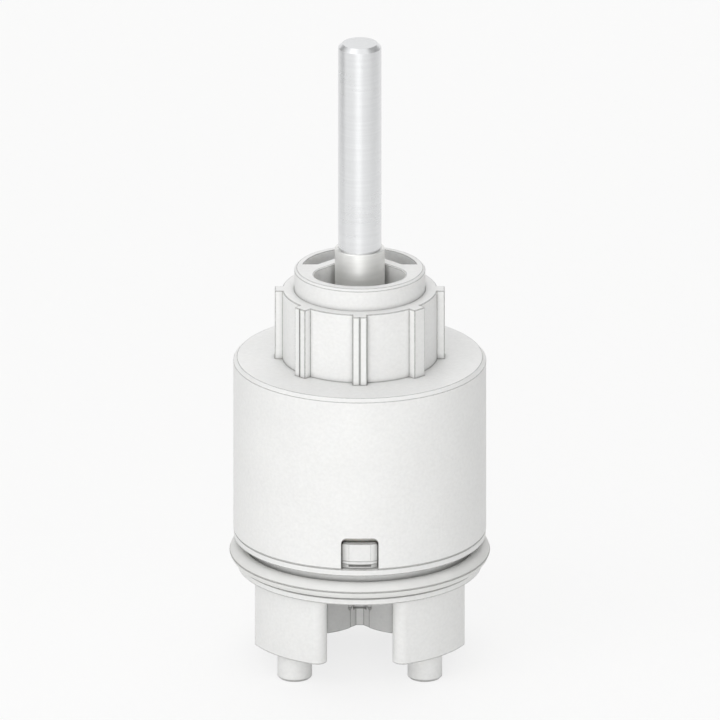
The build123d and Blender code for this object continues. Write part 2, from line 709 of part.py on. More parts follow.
def all_parts():
    """Every piece of the cartridge by node name."""
    return {
        "housing": make_housing(),
        "lever_gate": make_lever_gate(),
        "base": make_base(),
        "outer_o_ring": make_outer_o_ring(),
        "hot_inlet_seal": make_inlet_seal(-1),
        "cold_inlet_seal": make_inlet_seal(1),
        "hot_disc_seal": make_disc_seal(-disc_seal_x, disc_seal_y),
        "cold_disc_seal": make_disc_seal(disc_seal_x, disc_seal_y),
        "outlet_disc_seal": make_disc_seal(0, outlet_y),
        "fixed_disc": make_fixed_disc(),
        "thrust_ring": make_thrust_ring(),
        "moving_disc": make_moving_disc(),
        "noise_screen": make_noise_screen(),
        "chamber_seal": make_chamber_seal(),
        "disc_driver": make_disc_driver(),
        "rotor": make_rotor(),
        "rotor_o_ring": make_rotor_o_ring(),
        "pivot_pin": make_pivot_pin(),
        "lever_spindle": make_lever_spindle(),
        "control_rod": make_control_rod(),
        "lever_tip_cap": make_lever_tip_cap(),
    }


os.makedirs("parts", exist_ok=True)
for node, solid in all_parts().items():
    export_step(solid, f"parts/{node}.step")
print(f"tip travel {tip_travel:.3f} mm, coupling {tip_travel / tilt:.3f} mm per radian")
print(f"gate front radius {gate_reach + boss_r + GATE_SIDE_GAP:.3f} mm, rod top {rod_top_z:.2f} mm")
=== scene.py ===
"""Surface finishes and photo stage for a packed 35 mm mixer cartridge, laid out as an add-on."""

import bmesh
import bpy
from bpy.props import FloatProperty, FloatVectorProperty, PointerProperty
from math import cos, pi, radians, sin
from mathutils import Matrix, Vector


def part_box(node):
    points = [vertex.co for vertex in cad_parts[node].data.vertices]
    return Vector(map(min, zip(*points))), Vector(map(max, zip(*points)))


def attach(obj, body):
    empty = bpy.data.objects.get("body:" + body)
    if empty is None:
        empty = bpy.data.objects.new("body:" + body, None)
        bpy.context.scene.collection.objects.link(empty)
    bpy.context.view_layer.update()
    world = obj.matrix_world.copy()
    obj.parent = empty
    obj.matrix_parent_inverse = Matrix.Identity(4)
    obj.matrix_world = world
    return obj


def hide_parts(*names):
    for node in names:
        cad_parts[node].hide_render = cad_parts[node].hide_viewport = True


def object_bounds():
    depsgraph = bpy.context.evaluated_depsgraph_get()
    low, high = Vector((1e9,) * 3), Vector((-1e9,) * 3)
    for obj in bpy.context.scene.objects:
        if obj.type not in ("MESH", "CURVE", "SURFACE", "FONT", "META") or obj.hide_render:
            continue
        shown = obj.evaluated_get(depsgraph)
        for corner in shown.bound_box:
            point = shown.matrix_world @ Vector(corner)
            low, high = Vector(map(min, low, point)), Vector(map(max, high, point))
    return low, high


bl_info = {
    "name": "Mixer Cartridge Finish",
    "version": (1, 0, 0),
    "blender": (4, 5, 0),
    "location": "View3D > Sidebar > Cartridge",
    "description": "Finishes each piece of a ceramic disc mixer cartridge and sets a pale studio round it",
    "category": "Object",
}

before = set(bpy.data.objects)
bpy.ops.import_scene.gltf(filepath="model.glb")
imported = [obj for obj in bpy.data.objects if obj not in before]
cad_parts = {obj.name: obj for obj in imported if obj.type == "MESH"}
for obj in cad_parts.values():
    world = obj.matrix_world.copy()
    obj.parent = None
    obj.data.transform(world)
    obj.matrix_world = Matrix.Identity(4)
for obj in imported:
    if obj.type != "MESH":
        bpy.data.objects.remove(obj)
cad_low, cad_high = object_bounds()

MM = 0.001
WHITE = (1.0, 1.0, 1.0, 1.0)


def linear(hex_colour):
    """Linear colour with alpha from an sRGB hex value."""
    channels = [int(hex_colour[place:place + 2], 16) / 255 for place in (1, 3, 5)]
    bent = [c / 12.92 if c <= 0.04045 else ((c + 0.055) / 1.055) ** 2.4 for c in channels]
    return (*bent, 1.0)


def colour(label, hex_value, text):
    """Colour property of a finish."""
    return FloatVectorProperty(
        name=label, description=text, subtype="COLOR", size=4, min=0.0, max=1.0, default=linear(hex_value)
    )


def length(label, default, text):
    """Length property in metres."""
    return FloatProperty(
        name=label, description=text, subtype="DISTANCE", unit="LENGTH", min=0.0, default=default
    )


def power(label, default, text):
    """Power property of a lamp in watts."""
    return FloatProperty(name=label, description=text, unit="POWER", min=0.0, default=default)


class FinishColours(bpy.types.PropertyGroup):
    """Colours of the mouldings, rubbers, ceramics and metals."""

    housing: colour("Housing", "#EFEFEE", "Natural acetal of the housing")
    gate: colour("Lever gate", "#EEEEED", "Natural acetal of the gate insert")
    base: colour("Base", "#ECECEB", "Natural acetal of the distributor base")
    # Painted shade: this grey darkens edges, creases, inner corners and the O-ring's parting line
    painted_shade: colour("Handled edges", "#6F6F6C", "Grey that handling leaves on edges and in corners")
    ring: colour("Outer ring", "#E3E3E1", "Pale silicone of the O-ring on the base")
    seal: colour("Inner seals", "#303133", "Black rubber of the port seals")
    bloom: colour("Bloom", "#F4F4F2", "Pale powder that comes out of old rubber")
    ceramic: colour("Discs", "#F1EEE7", "Lapped alumina of the two discs")
    rotor: colour("Rotor", "#D6D6D4", "Acetal of the lever carrier")
    driver: colour("Driver", "#C4C7C9", "Glass filled plastic of the disc driver")
    washer: colour("Thrust ring", "#F1EEE4", "Low friction washer")
    rod: colour("Control rod", "#E6E7E8", "Ground stainless steel")
    spindle: colour("Spindle", "#F2F2F0", "Satin nickel on turned brass")
    sheet: colour("Noise screen", "#B9BBBD", "Punched stainless sheet")


class DetailSizes(bpy.types.PropertyGroup):
    """Sizes of the surface detail."""

    # A real spark grain is about 0.1 mm, too fine to show in the render, so it is drawn coarser
    spark_grain: length("Spark grain", 0.45 * MM, "Grain of the eroded mould face")
    # The edge line is the width of a painted shade line along each edge and crease
    edge_line: length("Edge line", 0.16 * MM, "Width of the grey that handling leaves along an edge")
    # The corner reach is how far painted shade spreads out of an inner corner
    corner_reach: length("Corner reach", 0.9 * MM, "How far dust reaches out of an inner corner")
    flash_width: length("Flash width", 0.2 * MM, "Width of the parting line round the O-ring")
    flash_height: length("Flash height", 0.07 * MM, "Height of the parting line round the O-ring")

    # Real tool marks lie under 0.1 mm apart, too fine to show in the render, so they are drawn coarser
    grinding_pitch: length("Grinding pitch", 0.32 * MM, "Spacing of the grinding marks on the rod")
    turning_pitch: length("Turning pitch", 0.4 * MM, "Spacing of the turning marks on the spindle")


class StageSizes(bpy.types.PropertyGroup):
    """Camera, floor and lamps."""

    elevation: FloatProperty(
        name="Elevation",
        description="Camera above the horizon",
        subtype="ANGLE",
        unit="ROTATION",
        default=radians(20),
    )
    frame_width: length("Frame width", 99.65 * MM, "Width of the square picture at the cartridge")
    aim_height: length("Aim height", 43.37 * MM, "Height on the axis that the picture is centred on")
    aim_side: length("Aim side", 0.03 * MM, "How far right of the axis the picture is centred")
    floor_size: length("Floor size", 3.0, "Side of the square floor")
    floor: colour("Floor", "#F4F4F3", "Pale floor and backdrop")
    flag: colour("Flags", "#B4B4B4", "Grey boards that shade the right side and the left rear")
    key_power: power("Key lamp", 0.8, "Power of the big soft lamp at the left")
    fill_power: power("Fill lamp", 1.25, "Power of the low lamp at the front")
    rear_power: power("Rear lamp", 1.1, "Power of the big soft lamp above and behind")
    room_light: FloatProperty(
        name="Room light", description="Level of the even light all round", min=0.0, default=0.75
    )


def bare_tree(owner):
    """Node tree of a material or a world, emptied."""
    owner.use_nodes = True
    owner.node_tree.nodes.clear()
    return owner.node_tree


def add_node(tree, kind, settings=(), values=(), links=()):
    """Adds a node, sets its own settings and socket values, and links sockets into it."""
    node = tree.nodes.new(kind)
    for name, value in dict(settings).items():
        setattr(node, name, value)
    for name, value in dict(values).items():
        node.inputs[name].default_value = value
    for name, socket in dict(links).items():
        tree.links.new(socket, node.inputs[name])
    return node


# Samples of the masks for edges and corners
MASK_SAMPLES = 6

# Cosine between the flat and the rounded normal where the painted shade line on edges and creases starts and
# where it is full
SHADE_LINE_START = 0.998
SHADE_LINE_FULL = 0.978

# Open share of the sky where the painted shade in inner corners starts and where it is full
CORNER_SHADE_START = 0.85
CORNER_SHADE_FULL = 0.3


def edge_mask(tree, width):
    """Socket that is 1 on outer and inner edges and 0 on open faces."""
    rounded = add_node(tree, "ShaderNodeBevel", {"samples": MASK_SAMPLES}, {"Radius": width})
    flat = add_node(tree, "ShaderNodeNewGeometry")
    match = add_node(
        tree, "ShaderNodeVectorMath", {"operation": "DOT_PRODUCT"},
        links={0: rounded.outputs["Normal"], 1: flat.outputs["Normal"]},
    )
    spread = add_node(
        tree, "ShaderNodeMapRange",
        values={"From Min": SHADE_LINE_START, "From Max": SHADE_LINE_FULL},
        links={"Value": match.outputs["Value"]},
    )
    return spread.outputs["Result"]


def corner_mask(tree, reach):
    """Socket that rises towards 1 in inner corners."""
    open_sky = add_node(tree, "ShaderNodeAmbientOcclusion", {"samples": MASK_SAMPLES}, {"Distance": reach})
    spread = add_node(
        tree, "ShaderNodeMapRange",
        values={"From Min": CORNER_SHADE_START, "From Max": CORNER_SHADE_FULL},
        links={"Value": open_sky.outputs["AO"]},
    )
    return spread.outputs["Result"]


# Faint clouds where the melt flowed, with their tones
CLOUD_SIZE = 9 * MM
CLOUD_DARK = 0.95
CLOUD_LIGHT = 1.03

# Tones and relief of the eroded grain
GRAIN_DARK = 0.93
GRAIN_LIGHT = 1.05
GRAIN_STRENGTH = 0.6
GRAIN_DEPTH = 0.05 * MM

# Share of the painted shade grey in the lines on edges and creases and in inner corners
EDGE_SHADE_SHARE = 0.85
CORNER_SHADE_SHARE = 0.5

# Rubbed patches, with the roughness where they are smoothest and dullest
RUB_SIZE = 3 * MM
ACETAL_SMOOTH = 0.34
ACETAL_DULL = 0.5

# How the acetal bends light and lets a little of it through, near neutral in colour
ACETAL_IOR = 1.48
ACETAL_GLOW = 0.12
ACETAL_GLOW_DEPTH = 0.6 * MM
ACETAL_GLOW_REACH = (1.0, 0.95, 0.88)


def moulded_acetal(name, body_colour, colours, sizes):
    """Acetal moulded in a spark eroded tool: a soft satin white, with faint flow clouds and painted shade on
    edges and in corners.
    """
    material = bpy.data.materials.new(name)
    tree = bare_tree(material)
    place = add_node(tree, "ShaderNodeTexCoord").outputs["Object"]
    clouds = add_node(
        tree, "ShaderNodeTexNoise",
        values={"Scale": 1 / CLOUD_SIZE, "Detail": 3.0},
        links={"Vector": place},
    )
    tone = add_node(
        tree, "ShaderNodeMapRange",
        values={"To Min": CLOUD_DARK, "To Max": CLOUD_LIGHT},
        links={"Value": clouds.outputs["Fac"]},
    )
    grain = add_node(
        tree, "ShaderNodeTexNoise",
        values={"Scale": 1 / sizes.spark_grain, "Detail": 2.0},
        links={"Vector": place},
    )
    pits = add_node(
        tree, "ShaderNodeMapRange",
        values={"To Min": GRAIN_DARK, "To Max": GRAIN_LIGHT},
        links={"Value": grain.outputs["Fac"]},
    )
    mottle = add_node(
        tree, "ShaderNodeMath", {"operation": "MULTIPLY"},
        links={0: tone.outputs["Result"], 1: pits.outputs["Result"]},
    )
    tinted = add_node(
        tree, "ShaderNodeVectorMath", {"operation": "SCALE"},
        values={0: body_colour[:3]},
        links={"Scale": mottle.outputs["Value"]},
    )
    # Painted shade: a grey line on every outer edge and crease, standing in for shadow lines
    edge_shade = add_node(
        tree, "ShaderNodeMath", {"operation": "MULTIPLY"},
        values={1: EDGE_SHADE_SHARE},
        links={0: edge_mask(tree, sizes.edge_line)},
    )
    edge_shaded = add_node(
        tree, "ShaderNodeMix", {"data_type": "RGBA"},
        values={"B": colours.painted_shade},
        links={"Factor": edge_shade.outputs["Value"], "A": tinted.outputs["Vector"]},
    )
    # Painted shade: grey that darkens the inner corners, where less light reaches
    corner_shade = add_node(
        tree, "ShaderNodeMath", {"operation": "MULTIPLY"},
        values={1: CORNER_SHADE_SHARE},
        links={0: corner_mask(tree, sizes.corner_reach)},
    )
    corner_shaded = add_node(
        tree, "ShaderNodeMix", {"data_type": "RGBA"},
        values={"B": colours.painted_shade},
        links={"Factor": corner_shade.outputs["Value"], "A": edge_shaded.outputs["Result"]},
    )
    rubbed = add_node(
        tree, "ShaderNodeTexNoise",
        values={"Scale": 1 / RUB_SIZE, "Detail": 5.0, "Roughness": 0.65},
        links={"Vector": place},
    )
    gloss = add_node(
        tree, "ShaderNodeMapRange",
        values={"To Min": ACETAL_SMOOTH, "To Max": ACETAL_DULL},
        links={"Value": rubbed.outputs["Fac"]},
    )
    bump = add_node(
        tree, "ShaderNodeBump",
        values={"Strength": GRAIN_STRENGTH, "Distance": GRAIN_DEPTH},
        links={"Height": grain.outputs["Fac"]},
    )
    shader = add_node(
        tree, "ShaderNodeBsdfPrincipled",
        values={
            "IOR": ACETAL_IOR,
            "Subsurface Weight": ACETAL_GLOW,
            "Subsurface Scale": ACETAL_GLOW_DEPTH,
            "Subsurface Radius": ACETAL_GLOW_REACH,
        },
        links={
            "Base Color": corner_shaded.outputs["Result"],
            "Roughness": gloss.outputs["Result"],
            "Normal": bump.outputs["Normal"],
        },
    )
    add_node(tree, "ShaderNodeOutputMaterial", links={"Surface": shader.outputs["BSDF"]})
    return material


# Patches of bloom, with the noise level where the powder starts and where it is full
BLOOM_SIZE = 4 * MM
BLOOM_START = 0.45
BLOOM_FULL = 0.75

# Share of the bloom's colour where it is thickest, on the pale outer ring and on the black seals
RING_BLOOM = 0.35
SEAL_BLOOM = 0.06

# Grain of the rubber's skin, coarser than the real one so that it shows
SKIN_SIZE = 0.3 * MM
SKIN_STRENGTH = 0.5
SKIN_DEPTH = 0.008 * MM

# How the rubber shines
RUBBER_SMOOTH = 0.5
RUBBER_DULL = 0.66
RUBBER_IOR = 1.51
RUBBER_SHEEN = 0.1
RUBBER_SHEEN_ROUGHNESS = 0.5


def moulded_rubber(name, body_colour, bloom_share, edge_colour, colours, sizes):
    """Moulded seal rubber: matt, with a thin bloom in patches and a painted shade line along its parting line
    and other edges.
    """
    material = bpy.data.materials.new(name)
    tree = bare_tree(material)
    place = add_node(tree, "ShaderNodeTexCoord").outputs["Object"]
    patches = add_node(
        tree, "ShaderNodeTexNoise",
        values={"Scale": 1 / BLOOM_SIZE, "Detail": 4.0},
        links={"Vector": place},
    )
    veil = add_node(
        tree, "ShaderNodeMapRange",
        values={"From Min": BLOOM_START, "From Max": BLOOM_FULL, "To Max": bloom_share},
        links={"Value": patches.outputs["Fac"]},
    )
    powdered = add_node(
        tree, "ShaderNodeMix", {"data_type": "RGBA"},
        values={"A": body_colour, "B": colours.bloom},
        links={"Factor": veil.outputs["Result"]},
    )
    # Painted shade: a line in the edge colour along the parting line and other edges
    shade_lined = add_node(
        tree, "ShaderNodeMix", {"data_type": "RGBA"},
        values={"B": edge_colour},
        links={"Factor": edge_mask(tree, sizes.edge_line), "A": powdered.outputs["Result"]},
    )
    gloss = add_node(
        tree, "ShaderNodeMapRange",
        values={"To Min": RUBBER_SMOOTH, "To Max": RUBBER_DULL},
        links={"Value": patches.outputs["Fac"]},
    )
    skin = add_node(
        tree, "ShaderNodeTexNoise",
        values={"Scale": 1 / SKIN_SIZE, "Detail": 2.0},
        links={"Vector": place},
    )
    bump = add_node(
        tree, "ShaderNodeBump",
        values={"Strength": SKIN_STRENGTH, "Distance": SKIN_DEPTH},
        links={"Height": skin.outputs["Fac"]},
    )
    shader = add_node(
        tree, "ShaderNodeBsdfPrincipled",
        values={
            "IOR": RUBBER_IOR,
            "Sheen Weight": RUBBER_SHEEN,
            "Sheen Roughness": RUBBER_SHEEN_ROUGHNESS,
        },
        links={
            "Base Color": shade_lined.outputs["Result"],
            "Roughness": gloss.outputs["Result"],
            "Normal": bump.outputs["Normal"],
        },
    )
    add_node(tree, "ShaderNodeOutputMaterial", links={"Surface": shader.outputs["BSDF"]})
    return material


# Specks of the fired body, coarser than the real grain so that they show, and how dark they are
SPECK_SIZE = 0.5 * MM
SPECK_DARK = 0.94

# How far a speck reaches towards the next one
SPECK_REACH = 0.3

# Patches that the lapping left, with the roughness where they are smoothest and dullest
LAP_SIZE = 2 * MM
LAP_SMOOTH = 0.12
LAP_DULL = 0.26

# How the ceramic bends light and lets a little of it through
ALUMINA_IOR = 1.76
ALUMINA_GLOW = 0.1
ALUMINA_GLOW_DEPTH = 0.4 * MM


def lapped_alumina(name, body_colour):
    """Pressed, fired and lapped alumina: dense ivory white with fine specks and a quiet polish."""
    material = bpy.data.materials.new(name)
    tree = bare_tree(material)
    place = add_node(tree, "ShaderNodeTexCoord").outputs["Object"]
    specks = add_node(
        tree, "ShaderNodeTexVoronoi",
        values={"Scale": 1 / SPECK_SIZE},
        links={"Vector": place},
    )
    tone = add_node(
        tree, "ShaderNodeMapRange",
        values={"From Max": SPECK_REACH, "To Min": SPECK_DARK, "To Max": 1.0},
        links={"Value": specks.outputs["Distance"]},
    )
    tinted = add_node(
        tree, "ShaderNodeVectorMath", {"operation": "SCALE"},
        values={0: body_colour[:3]},
        links={"Scale": tone.outputs["Result"]},
    )
    polish = add_node(
        tree, "ShaderNodeTexNoise",
        values={"Scale": 1 / LAP_SIZE, "Detail": 6.0},
        links={"Vector": place},
    )
    gloss = add_node(
        tree, "ShaderNodeMapRange",
        values={"To Min": LAP_SMOOTH, "To Max": LAP_DULL},
        links={"Value": polish.outputs["Fac"]},
    )
    shader = add_node(
        tree, "ShaderNodeBsdfPrincipled",
        values={
            "IOR": ALUMINA_IOR,
            "Subsurface Weight": ALUMINA_GLOW,
            "Subsurface Scale": ALUMINA_GLOW_DEPTH,
        },
        links={"Base Color": tinted.outputs["Vector"], "Roughness": gloss.outputs["Result"]},
    )
    add_node(tree, "ShaderNodeOutputMaterial", links={"Surface": shader.outputs["BSDF"]})
    return material


# Widths of the streaks that glass fibres leave, coarser than the real ones so that they show
WASHER_STREAK = 1.2 * MM
DRIVER_STREAK = 0.6 * MM

# How many times longer than wide a streak is
STREAK_STRETCH = 4

# Tones, relief and roughness of the streaks
STREAK_DARK = 0.9
STREAK_LIGHT = 1.04
STREAK_STRENGTH = 0.4
STREAK_DEPTH = 0.01 * MM
STREAK_SMOOTH = 0.42
STREAK_DULL = 0.6
FILLED_IOR = 1.55


def filled_plastic(name, body_colour, streak_width):
    """Moulded plastic with short glass fibres: a dull face streaked along the flow."""
    material = bpy.data.materials.new(name)
    tree = bare_tree(material)
    place = add_node(tree, "ShaderNodeTexCoord").outputs["Object"]
    along = add_node(
        tree, "ShaderNodeMapping",
        values={"Scale": Vector((1 / STREAK_STRETCH, 1.0, 1.0)) / streak_width},
        links={"Vector": place},
    )
    streaks = add_node(
        tree, "ShaderNodeTexNoise",
        values={"Scale": 1.0, "Detail": 4.0},
        links={"Vector": along.outputs["Vector"]},
    )
    tone = add_node(
        tree, "ShaderNodeMapRange",
        values={"To Min": STREAK_DARK, "To Max": STREAK_LIGHT},
        links={"Value": streaks.outputs["Fac"]},
    )
    tinted = add_node(
        tree, "ShaderNodeVectorMath", {"operation": "SCALE"},
        values={0: body_colour[:3]},
        links={"Scale": tone.outputs["Result"]},
    )
    gloss = add_node(
        tree, "ShaderNodeMapRange",
        values={"To Min": STREAK_SMOOTH, "To Max": STREAK_DULL},
        links={"Value": streaks.outputs["Fac"]},
    )
    bump = add_node(
        tree, "ShaderNodeBump",
        values={"Strength": STREAK_STRENGTH, "Distance": STREAK_DEPTH},
        links={"Height": streaks.outputs["Fac"]},
    )
    shader = add_node(
        tree, "ShaderNodeBsdfPrincipled",
        values={"IOR": FILLED_IOR},
        links={
            "Base Color": tinted.outputs["Vector"],
            "Roughness": gloss.outputs["Result"],
            "Normal": bump.outputs["Normal"],
        },
    )
    add_node(tree, "ShaderNodeOutputMaterial", links={"Surface": shader.outputs["BSDF"]})
    return material


# Tool marks: how far one runs before it changes, their tones, and their relief
MARK_LENGTH = 6 * MM
MARK_DARK = 0.92
MARK_LIGHT = 1.05
MARK_STRENGTH = 0.5
MARK_DEPTH = 0.003 * MM

# Patches that wiping left, and the most that their noise and that of the tool marks add up to
WIPE_SIZE = 5 * MM
BOTH_NOISES = 2.0

# Upright share of the normal from which an end takes painted shade, in part and fully, and the tone of that
# painted shade
END_START = 0.9
END_FULL = 0.98
END_SHADE = 0.8

# Tool marks of the screen and the pin, coarser than the real ones so that they show
SCREEN_PITCH = 0.5 * MM
PIN_PITCH = 0.3 * MM

# Roughness of each metal piece where it is smoothest and dullest
SCREEN_ROUGHNESS = (0.3, 0.42)
PIN_ROUGHNESS = (0.18, 0.3)
ROD_ROUGHNESS = (0.22, 0.36)
SPINDLE_ROUGHNESS = (0.42, 0.58)


def turned_metal(name, body_colour, pitch, roughness):
    """Metal turned or ground on its axis: satin, with fine rings round its side and painted shade on its
    faced ends.
    """
    smooth, dull = roughness
    material = bpy.data.materials.new(name)
    tree = bare_tree(material)
    coordinates = add_node(tree, "ShaderNodeTexCoord")
    place = coordinates.outputs["Object"]
    flat = add_node(
        tree, "ShaderNodeVectorMath", {"operation": "MULTIPLY"},
        values={1: (1.0, 1.0, 0.0)},
        links={0: place},
    )
    reach = add_node(
        tree, "ShaderNodeVectorMath", {"operation": "LENGTH"},
        links={0: flat.outputs["Vector"]},
    )
    parts = add_node(tree, "ShaderNodeSeparateXYZ", links={0: place})
    along = add_node(
        tree, "ShaderNodeMath", {"operation": "ADD"},
        links={0: reach.outputs["Value"], 1: parts.outputs["Z"]},
    )
    cut_path = add_node(
        tree, "ShaderNodeCombineXYZ",
        links={"X": parts.outputs["X"], "Y": parts.outputs["Y"], "Z": along.outputs["Value"]},
    )
    round_axis = add_node(
        tree, "ShaderNodeMapping",
        values={"Scale": (1 / MARK_LENGTH, 1 / MARK_LENGTH, 1 / pitch)},
        links={"Vector": cut_path.outputs["Vector"]},
    )
    rings = add_node(
        tree, "ShaderNodeTexNoise",
        values={"Scale": 1.0, "Detail": 2.0},
        links={"Vector": round_axis.outputs["Vector"]},
    )
    wiped = add_node(
        tree, "ShaderNodeTexNoise",
        values={"Scale": 1 / WIPE_SIZE, "Detail": 3.0},
        links={"Vector": place},
    )
    both = add_node(
        tree, "ShaderNodeMath", {"operation": "ADD"},
        links={0: rings.outputs["Fac"], 1: wiped.outputs["Fac"]},
    )
    gloss = add_node(
        tree, "ShaderNodeMapRange",
        values={"From Max": BOTH_NOISES, "To Min": smooth, "To Max": dull},
        links={"Value": both.outputs["Value"]},
    )
    upward = add_node(tree, "ShaderNodeSeparateXYZ", links={0: coordinates.outputs["Normal"]})
    level = add_node(
        tree, "ShaderNodeMath", {"operation": "ABSOLUTE"},
        links={0: upward.outputs["Z"]},
    )
    # Painted shade: the flat ends are darkened, which holds down the lamps' glare on them
    shaded_ends = add_node(
        tree, "ShaderNodeMapRange",
        values={"From Min": END_START, "From Max": END_FULL, "To Min": 1.0, "To Max": END_SHADE},
        links={"Value": level.outputs["Value"]},
    )
    tone = add_node(
        tree, "ShaderNodeMapRange",
        values={"To Min": MARK_DARK, "To Max": MARK_LIGHT},
        links={"Value": rings.outputs["Fac"]},
    )
    marks_and_end_shade = add_node(
        tree, "ShaderNodeMath", {"operation": "MULTIPLY"},
        links={0: tone.outputs["Result"], 1: shaded_ends.outputs["Result"]},
    )
    tinted = add_node(
        tree, "ShaderNodeVectorMath", {"operation": "SCALE"},
        values={0: body_colour[:3]},
        links={"Scale": marks_and_end_shade.outputs["Value"]},
    )
    bump = add_node(
        tree, "ShaderNodeBump",
        values={"Strength": MARK_STRENGTH, "Distance": MARK_DEPTH},
        links={"Height": rings.outputs["Fac"]},
    )
    shader = add_node(
        tree, "ShaderNodeBsdfPrincipled",
        values={"Metallic": 1.0},
        links={
            "Base Color": tinted.outputs["Vector"],
            "Roughness": gloss.outputs["Result"],
            "Normal": bump.outputs["Normal"],
        },
    )
    add_node(tree, "ShaderNodeOutputMaterial", links={"Surface": shader.outputs["BSDF"]})
    return material


def finish_node(node, material):
    """Gives a CAD node its finish."""
    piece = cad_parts[node]
    piece.data.materials.clear()
    piece.data.materials.append(material)


# Angle between faces from which an edge shows sharp
SHARP_ANGLE = radians(25)


def own_piece(name, mesh, material, body, slot_name, *stands_for):
    """Puts a modelled piece in the scene, on its body, in the place of CAD nodes."""
    piece = bpy.data.objects.new(name, mesh)
    bpy.context.scene.collection.objects.link(piece)
    mesh.materials.append(material)
    mesh.shade_smooth()
    mesh.set_sharp_from_angle(angle=SHARP_ANGLE)
    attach(piece, body)
    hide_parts(*stands_for)


def ring_mesh(name, centre_r, centre_z, section, steps):
    """Closed ring whose section is a list of outward and upward offsets."""
    form = bmesh.new()
    loops = []
    for step in range(steps):
        angle = 2 * pi * step / steps
        loop = []
        for outward, upward in section:
            reach = centre_r + outward
            loop.append(form.verts.new((reach * cos(angle), reach * sin(angle), centre_z + upward)))
        loops.append(loop)
    for step, loop in enumerate(loops):
        following = loops[(step + 1) % steps]
        for number, corner in enumerate(loop):
            after = (number + 1) % len(loop)
            form.faces.new((corner, following[number], following[after], loop[after]))
    bmesh.ops.recalc_face_normals(form, faces=form.faces)
    mesh = bpy.data.meshes.new(name)
    form.to_mesh(mesh)
    form.free()
    return mesh


def flashed_section(section_r, flash_w, flash_h, steps):
    """Round rubber section with a low parting line on its outer and inner sides."""
    round_r = section_r - flash_h
    half_angle = flash_w / 2 / round_r
    section = []
    for side_angle in (0.0, pi):
        section.append((section_r * cos(side_angle), 0.0))
        for step in range(steps + 1):
            angle = side_angle + half_angle + step * (pi - 2 * half_angle) / steps
            section.append((round_r * cos(angle), round_r * sin(angle)))
    return section


class CARTRIDGE_OT_housing(bpy.types.Operator):
    """Finish the housing in moulded acetal"""

    bl_idname = "cartridge.housing"
    bl_label = "Housing"

    def execute(self, context):
        colours = context.scene.cartridge_colours
        details = context.scene.cartridge_details
        finish_node("housing", moulded_acetal("acetal_housing", colours.housing, colours, details))
        return {"FINISHED"}


class CARTRIDGE_OT_lever_gate(bpy.types.Operator):
    """Finish the gate insert in moulded acetal"""

    bl_idname = "cartridge.lever_gate"
    bl_label = "Lever gate"

    def execute(self, context):
        colours = context.scene.cartridge_colours
        details = context.scene.cartridge_details
        finish_node("lever_gate", moulded_acetal("acetal_gate", colours.gate, colours, details))
        return {"FINISHED"}


class CARTRIDGE_OT_base(bpy.types.Operator):
    """Finish the distributor base in moulded acetal"""

    bl_idname = "cartridge.base"
    bl_label = "Base"

    def execute(self, context):
        colours = context.scene.cartridge_colours
        details = context.scene.cartridge_details
        finish_node("base", moulded_acetal("acetal_base", colours.base, colours, details))
        return {"FINISHED"}


# Steps round the outer ring, and over each half of its section
RING_STEPS = 192
HALF_SECTION_STEPS = 20


class CARTRIDGE_OT_outer_ring(bpy.types.Operator):
    """Model the O-ring of the base with its parting line"""

    bl_idname = "cartridge.outer_ring"
    bl_label = "Outer O-ring"

    def execute(self, context):
        colours = context.scene.cartridge_colours
        details = context.scene.cartridge_details
        low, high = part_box("outer_o_ring")
        section_r = (high.z - low.z) / 2
        centre_r = (high.x - low.x) / 2 - section_r
        centre_z = (high.z + low.z) / 2
        section = flashed_section(section_r, details.flash_width, details.flash_height, HALF_SECTION_STEPS)
        mesh = ring_mesh("outer_ring", centre_r, centre_z, section, RING_STEPS)
        # The outer ring's parting line and edges take the painted shade grey
        rubber = moulded_rubber("silicone_ring", colours.ring, RING_BLOOM, colours.painted_shade, colours, details)
        own_piece("outer_ring", mesh, rubber, "housing", "rubber_pale", "outer_o_ring")
        return {"FINISHED"}


class CARTRIDGE_OT_inner_seals(bpy.types.Operator):
    """Finish the port seals and the small rings in moulded rubber"""

    bl_idname = "cartridge.inner_seals"
    bl_label = "Inner seals"

    def execute(self, context):
        colours = context.scene.cartridge_colours
        details = context.scene.cartridge_details
        rubber = moulded_rubber("rubber_seal", colours.seal, SEAL_BLOOM, colours.seal, colours, details)
        for node in (
            "hot_inlet_seal",
            "cold_inlet_seal",
            "hot_disc_seal",
            "cold_disc_seal",
            "outlet_disc_seal",
            "chamber_seal",
            "rotor_o_ring",
        ):
            finish_node(node, rubber)
        return {"FINISHED"}


class CARTRIDGE_OT_discs(bpy.types.Operator):
    """Finish the two ceramic discs in lapped alumina"""

    bl_idname = "cartridge.discs"
    bl_label = "Ceramic discs"

    def execute(self, context):
        ceramic = lapped_alumina("alumina_disc", context.scene.cartridge_colours.ceramic)
        for node in ("fixed_disc", "moving_disc"):
            finish_node(node, ceramic)
        return {"FINISHED"}


class CARTRIDGE_OT_drive(bpy.types.Operator):
    """Finish the rotor, the driver and what works between them"""

    bl_idname = "cartridge.drive"
    bl_label = "Rotor and driver"

    def execute(self, context):
        colours = context.scene.cartridge_colours
        details = context.scene.cartridge_details
        finish_node("rotor", moulded_acetal("acetal_rotor", colours.rotor, colours, details))
        finish_node("lever_tip_cap", moulded_acetal("acetal_cap", colours.gate, colours, details))
        finish_node("thrust_ring", filled_plastic("ptfe_washer", colours.washer, WASHER_STREAK))
        finish_node("disc_driver", filled_plastic("glass_filled_driver", colours.driver, DRIVER_STREAK))
        finish_node(
            "noise_screen", turned_metal("punched_steel", colours.sheet, SCREEN_PITCH, SCREEN_ROUGHNESS)
        )
        finish_node("pivot_pin", turned_metal("ground_pin", colours.rod, PIN_PITCH, PIN_ROUGHNESS))
        return {"FINISHED"}


